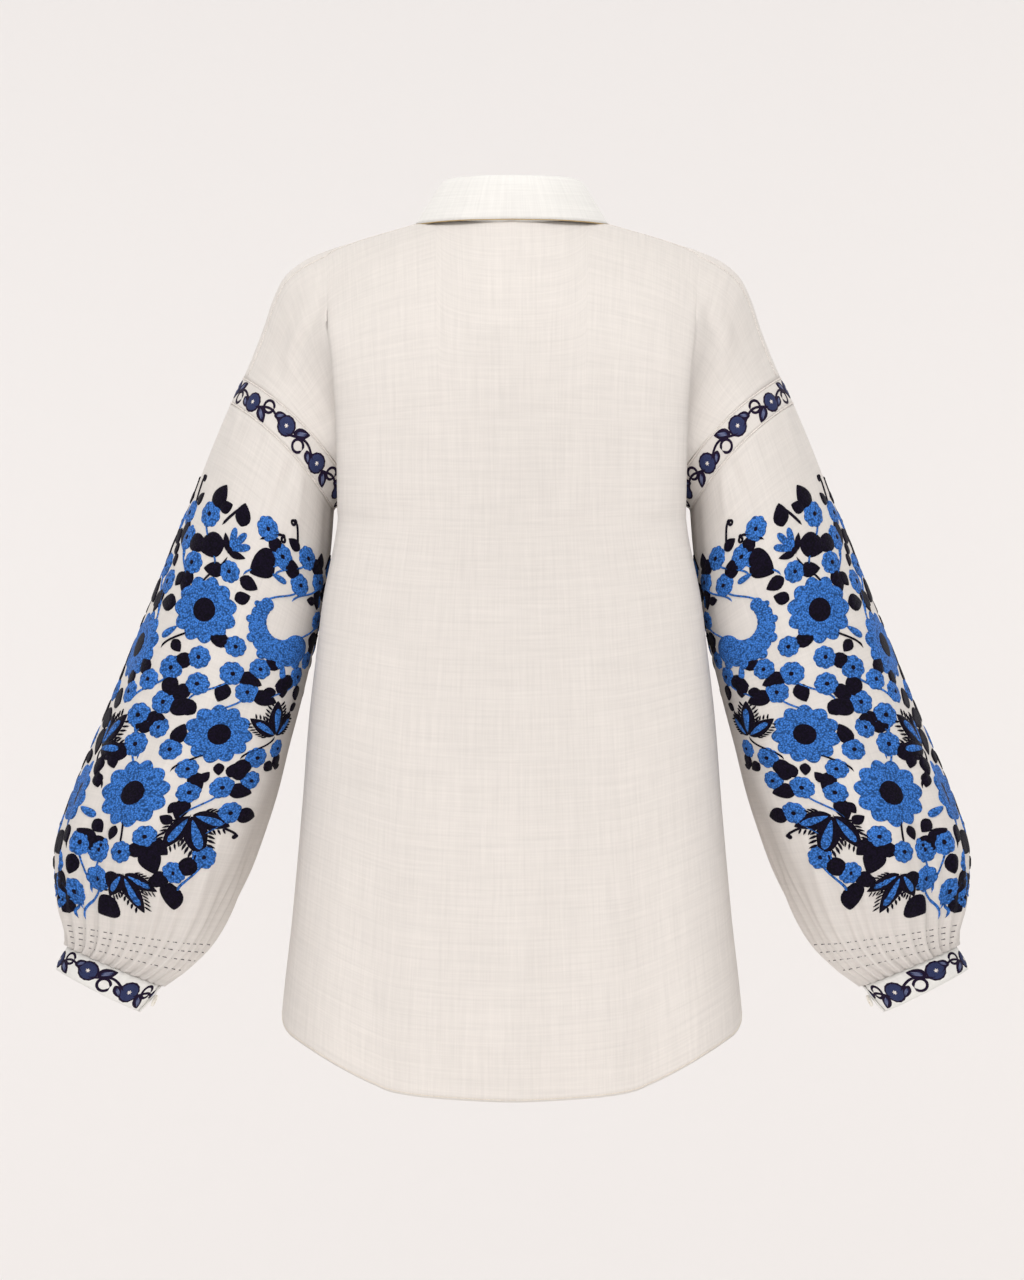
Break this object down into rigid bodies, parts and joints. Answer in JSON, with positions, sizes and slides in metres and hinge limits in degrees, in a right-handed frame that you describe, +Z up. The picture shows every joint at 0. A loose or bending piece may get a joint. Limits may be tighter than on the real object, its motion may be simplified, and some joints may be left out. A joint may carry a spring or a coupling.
{
  "type": "linen blouse",
  "caption": "Loose linen blouse with dropped shoulders, full gathered sleeves, a shirt collar, a curved hem and flower embroidery on the sleeves",
  "frame": {"origin": "middle of the neck opening, level with the side neck points of the shoulder seams", "axes": "+Z up towards the head, -Y the front of the blouse, +Y its back, +X the wearer's left"},
  "size_m": [0.7904, 0.2573, 0.7873],
  "materials": {
    "linen": "matte",
    "button": "satin"
  },
  "bodies": {
    "root": {"back": "linen", "front_left": "linen", "front_right": "linen", "collar_stand": "linen", "collar": "linen", "armhole_strip_left": "linen", "armhole_strip_right": "linen", "sleeve_left": "linen", "sleeve_right": "linen", "cuff_left": "linen", "cuff_right": "linen", "button_front_1": "button", "button_front_2": "button", "button_front_3": "button", "button_front_4": "button", "button_front_5": "button", "button_front_6": "button", "button_front_7": "button", "button_stand": "button", "button_cuff_left": "button", "button_cuff_right": "button"}
  },
  "joints": []
}
